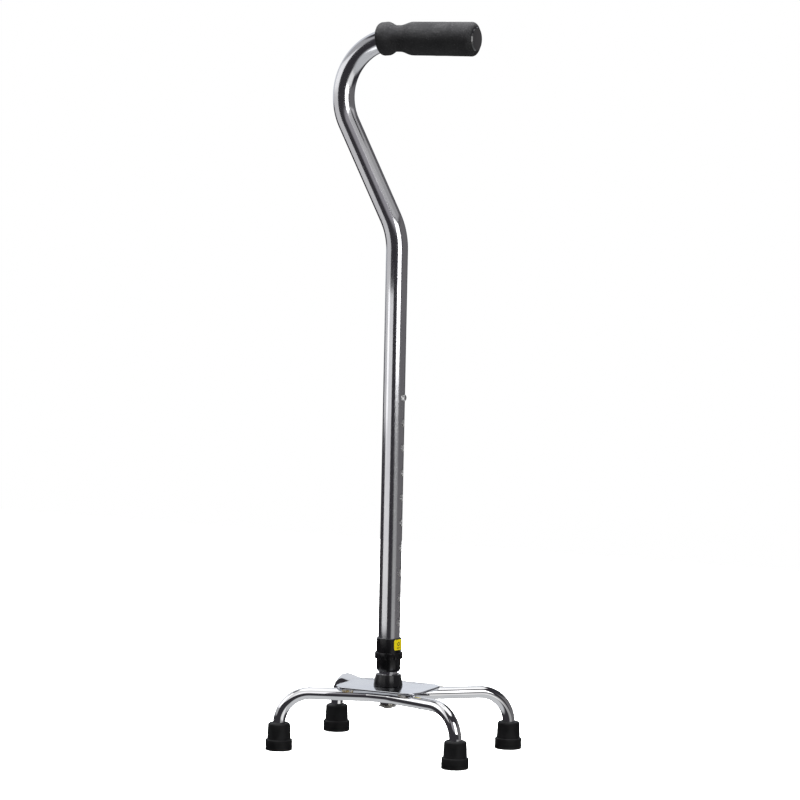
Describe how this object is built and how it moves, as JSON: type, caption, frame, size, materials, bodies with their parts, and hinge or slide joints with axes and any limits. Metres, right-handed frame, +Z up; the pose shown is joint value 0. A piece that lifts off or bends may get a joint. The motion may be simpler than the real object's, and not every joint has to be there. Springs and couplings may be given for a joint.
{
  "type": "quad walking cane",
  "caption": "Walking cane with a swan-neck tube and horizontal foam grip, a telescoping shaft with a snap button and lock collar, and a small four-legged base on rubber tips.",
  "frame": {"origin": "on the floor, in the middle of the four rubber tips", "axes": "+Z up along the shaft; +X the way the hand grip points, along the base's longer side; the shaft stands 17.2 mm from the origin towards -Y, the front"},
  "size_m": [0.2248, 0.1598, 0.7407],
  "materials": {
    "bright_aluminium": "polished anodised tube",
    "chrome": "bright chrome plate",
    "zinc_steel": "zinc plated",
    "weld_steel": "plated weld bead",
    "spring_steel": "bright spring steel",
    "grip_foam": "fine closed-cell foam",
    "glossy_black": "glossy",
    "black_plastic": "satin",
    "grey_plastic": "plain moulded",
    "black_rubber": "moulded matt rubber",
    "yellow_vinyl": "printed vinyl sticker"
  },
  "bodies": {
    "base": {"lower_tube": "bright_aluminium", "guide_bushing": "grey_plastic", "snap_spring": "spring_steel", "threaded_plug": "zinc_steel", "base_boss": "black_plastic", "base_plate": "chrome", "spacer_bush": "zinc_steel", "flat_washer": "zinc_steel", "centre_bolt": "zinc_steel", "front_leg_tube": "chrome", "rear_leg_tube": "chrome", "weld_front_left": "weld_steel", "tip_front_left": "black_rubber", "tip_disc_front_left": "zinc_steel", "weld_front_right": "weld_steel", "tip_front_right": "black_rubber", "tip_disc_front_right": "zinc_steel", "weld_rear_left": "weld_steel", "tip_rear_left": "black_rubber", "tip_disc_rear_left": "zinc_steel", "weld_rear_right": "weld_steel", "tip_rear_right": "black_rubber", "tip_disc_rear_right": "zinc_steel"},
    "handle": {"handle_tube": "bright_aluminium", "grip_foam": "grip_foam", "grip_end_plug": "glossy_black", "collet_sleeve": "black_plastic", "collar_label": "yellow_vinyl"},
    "collar": {"lock_collar": "black_plastic"},
    "button": {"snap_button": "spring_steel"}
  },
  "joints": [
    {"name": "height_slide", "type": "slide", "parent": "base", "child": "handle", "axis": [0, 0, 1], "range_m": [0, 0.2286], "deforming": ["snap_button", "snap_spring"]},
    {"name": "collar_turn", "type": "hinge", "parent": "handle", "child": "collar", "pos_m": [0, -0.0172, 0.092], "axis": [0, 0, -1], "range_deg": [0, 90]},
    {"name": "button_press", "type": "slide", "parent": "base", "child": "button", "axis": [-1, 0, 0], "range_m": [0, 0.0038], "stiffness_N_per_m": 1200, "springref_m": -0.003, "deforming": ["snap_spring"]}
  ]
}
